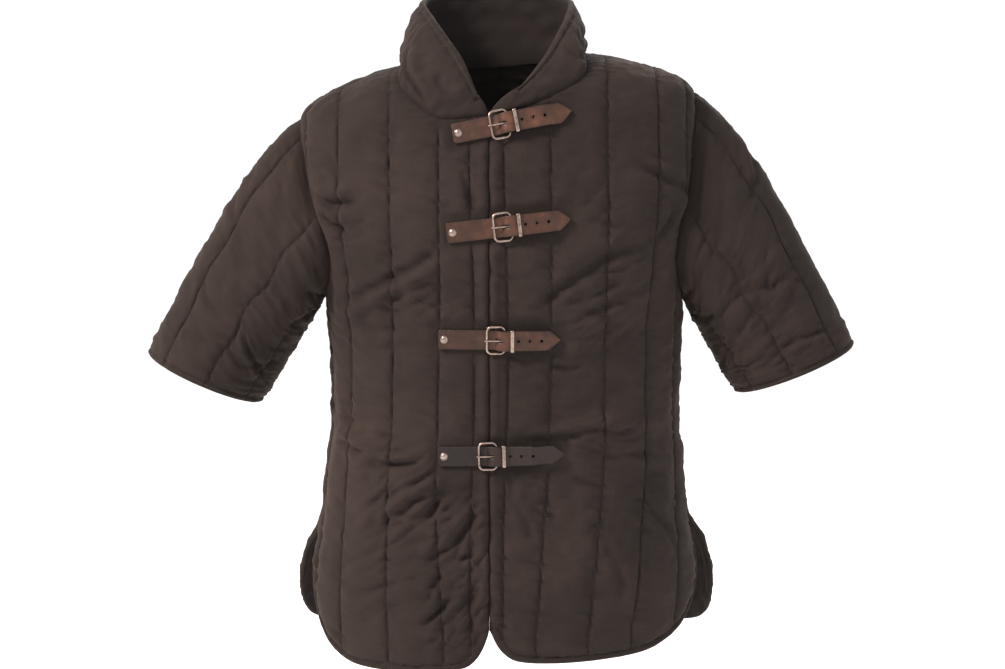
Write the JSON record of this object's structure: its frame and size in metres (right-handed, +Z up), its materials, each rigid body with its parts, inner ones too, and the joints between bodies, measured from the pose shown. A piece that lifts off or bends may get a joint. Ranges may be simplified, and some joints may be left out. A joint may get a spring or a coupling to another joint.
{
  "type": "gambeson",
  "caption": "Quilted, padded short-sleeved jacket with a stand collar, side vents and strap-and-buckle closures down the front.",
  "frame": {"origin": "middle of the neck at the level of the neck points of the shoulders, where a wearer's shoulders hold the garment", "axes": "+Z up, -Y towards the front of the garment, +X towards the wearer's left"},
  "size_m": [0.9109, 0.2709, 0.8547],
  "materials": {
    "quilted_cotton": "matt quilted cotton",
    "brown_leather": "semi-matt leather",
    "nickel_plated_steel": "bright plated"
  },
  "bodies": {
    "root": {"front_right": "quilted_cotton", "front_left": "quilted_cotton", "back": "quilted_cotton", "collar": "quilted_cotton", "sleeve_right": "quilted_cotton", "sleeve_left": "quilted_cotton", "strap_1": "brown_leather", "strap_2": "brown_leather", "strap_3": "brown_leather", "strap_4": "brown_leather", "buckle_chape_1": "brown_leather", "buckle_chape_2": "brown_leather", "buckle_chape_3": "brown_leather", "buckle_chape_4": "brown_leather", "buckle_frame_1": "nickel_plated_steel", "buckle_frame_2": "nickel_plated_steel", "buckle_frame_3": "nickel_plated_steel", "buckle_frame_4": "nickel_plated_steel", "buckle_prong_1": "nickel_plated_steel", "buckle_prong_2": "nickel_plated_steel", "buckle_prong_3": "nickel_plated_steel", "buckle_prong_4": "nickel_plated_steel", "strap_keeper_1": "nickel_plated_steel", "strap_keeper_2": "nickel_plated_steel", "strap_keeper_3": "nickel_plated_steel", "strap_keeper_4": "nickel_plated_steel", "strap_rivet_1": "nickel_plated_steel", "strap_rivet_2": "nickel_plated_steel", "strap_rivet_3": "nickel_plated_steel", "strap_rivet_4": "nickel_plated_steel", "chape_rivet_1": "nickel_plated_steel", "chape_rivet_2": "nickel_plated_steel", "chape_rivet_3": "nickel_plated_steel", "chape_rivet_4": "nickel_plated_steel"}
  },
  "joints": []
}
